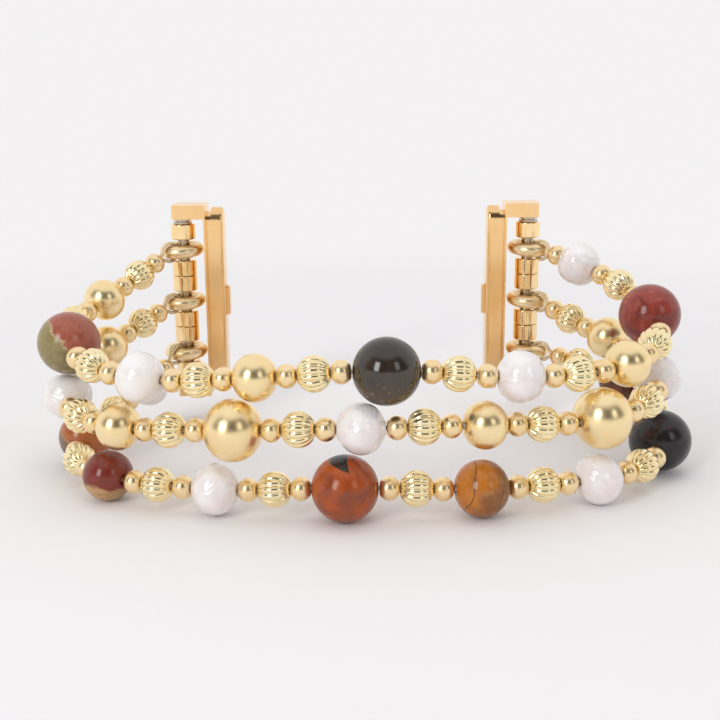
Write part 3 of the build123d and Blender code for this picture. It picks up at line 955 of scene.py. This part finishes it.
def add_floor():
    """A round floor whose edge rises into a backdrop all round."""
    flat, rise, corner_steps, turns = 1.2, 0.25, 12, 96
    outline = [(0.0, 0.0), (flat, 0.0)]
    outline += [
        (flat + rise * math.sin(turn), rise * (1 - math.cos(turn)))
        for turn in (math.pi / 2 * (n + 1) / corner_steps for n in range(corner_steps))
    ]
    mesh = spun(outline, turns, closed=False)
    if mesh.faces[0].normal.z < 0:
        bmesh.ops.reverse_faces(mesh, faces=mesh.faces)
    floor = smooth_object("floor", mesh, paper_finish("floor_paper", PALE_PAPER))
    floor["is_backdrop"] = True


def add_lamp(name, place, size, power, in_mirrors):
    """A rectangular soft box that shines on the band."""
    data = bpy.data.lights.new(name, "AREA")
    data.shape = "RECTANGLE"
    data.size, data.size_y = size
    data.energy = power
    lamp = add_object(name, data)
    lamp.location = place
    lamp.visible_camera = False
    lamp.visible_glossy = in_mirrors
    lamp.rotation_euler = (Vector(LAMP_AIM) - Vector(place)).to_track_quat("-Z", "Y").to_euler()


def add_camera():
    """The photograph's camera: where it aims, from how far and how steeply, and its lens in pixels."""
    frame_side, sensor = 720.0, 36.0
    aim = Vector((-1.91, -2.47, 15.09)) * MM
    distance, lens_pixels = 158.0 * MM, 1175.2
    drop, swing, roll = math.radians(13.96), math.radians(-0.99), math.radians(-0.5)
    middle_x, middle_y = 353.4, 363.2
    toward = Vector((math.sin(swing) * math.cos(drop), math.cos(swing) * math.cos(drop), -math.sin(drop)))
    data = bpy.data.cameras.new("camera")
    data.sensor_fit = "HORIZONTAL"
    data.sensor_width = sensor
    data.lens = lens_pixels / frame_side * sensor
    data.shift_x = (frame_side / 2 - middle_x) / frame_side
    data.shift_y = (middle_y - frame_side / 2) / frame_side
    data.clip_start = 0.01
    camera = add_object("camera", data)
    turn = toward.to_track_quat("-Z", "Y").to_matrix().to_4x4()
    camera.matrix_world = Matrix.Translation(aim - toward * distance) @ turn @ Matrix.Rotation(roll, 4, "Z")
    bpy.context.scene.camera = camera


def add_world():
    """A pale room: white to the eye, and in mirrors white above and behind, with its dim end in front."""
    world = bpy.data.worlds.new("studio")
    bpy.context.scene.world = world
    world.use_nodes = True
    room = Shading(world.node_tree)
    _, y, z = room.axes(room.node("ShaderNodeTexCoord", {}, {}, "Generated"))
    in_front = room.step(-1.0 * y, 0.0, 0.4)
    above_floor = room.step(z, 0.0, 0.05)
    below_top = room.step(z, 0.90, 0.70)
    dim_end = in_front * above_floor * below_top
    in_mirrors = room.mix(dim_end, (0.94, 0.93, 0.93), (0.055, 0.05, 0.045))
    seen, mirrored, through = room.rays()
    light = room.mix(mirrored.at_least(through), (0.70, 0.70, 0.71), in_mirrors)
    color = room.mix(seen, light, PALE_PAPER)
    background = room.node("ShaderNodeBackground", {}, {"Color": color, "Strength": 1.0})
    output = room.tree.nodes.new("ShaderNodeOutputWorld")
    room.feed(output.inputs["Surface"], background)


class BEADBAND_OT_stage(BandOperator):
    """Sets up the floor, the lamps, the surround and the camera"""

    bl_idname = "beadband.stage"
    bl_label = "Stage"

    def execute(self, context):
        add_floor()
        for lamp in LAMPS:
            add_lamp(*lamp)
        add_world()
        add_camera()
        context.scene.view_settings.view_transform = "Standard"
        return {"FINISHED"}


class BEADBAND_PT_panel(bpy.types.Panel):
    """Lists the steps of the band"""

    bl_label = "Bead Watch Band"
    bl_idname = "BEADBAND_PT_panel"
    bl_space_type = "VIEW_3D"
    bl_region_type = "UI"
    bl_category = "Bead Band"

    def draw(self, context):
        for name in BeadBandSettings.__annotations__:
            self.layout.prop(context.scene.bead_band, name)
        for step in STEPS:
            self.layout.operator(step.bl_idname)


STEPS = (
    BEADBAND_OT_stage,
    BEADBAND_OT_cords,
    BEADBAND_OT_connectors,
    BEADBAND_OT_spacer_beads,
    BEADBAND_OT_gold_beads,
    BEADBAND_OT_pearls,
    BEADBAND_OT_stones,
)
CLASSES = (BeadBandSettings, *STEPS, BEADBAND_PT_panel)


def register():
    """Tells Blender of the settings, the steps and the panel."""
    for one in CLASSES:
        bpy.utils.register_class(one)
    bpy.types.Scene.bead_band = bpy.props.PointerProperty(type=BeadBandSettings)


def unregister():
    """Takes the settings, the steps and the panel away again."""
    del bpy.types.Scene.bead_band
    for one in reversed(CLASSES):
        bpy.utils.unregister_class(one)


def main():
    """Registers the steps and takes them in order."""
    register()
    bpy.ops.beadband.stage()
    bpy.ops.beadband.cords()
    bpy.ops.beadband.connectors()
    bpy.ops.beadband.spacer_beads()
    bpy.ops.beadband.gold_beads()
    bpy.ops.beadband.pearls()
    bpy.ops.beadband.stones()
    bpy.context.view_layer.update()
    boxes = {"cad": cad_box, "visual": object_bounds()}
    {name: [list(corner) for corner in box] for name, box in boxes.items()}


if __name__ == "__main__":
    main()
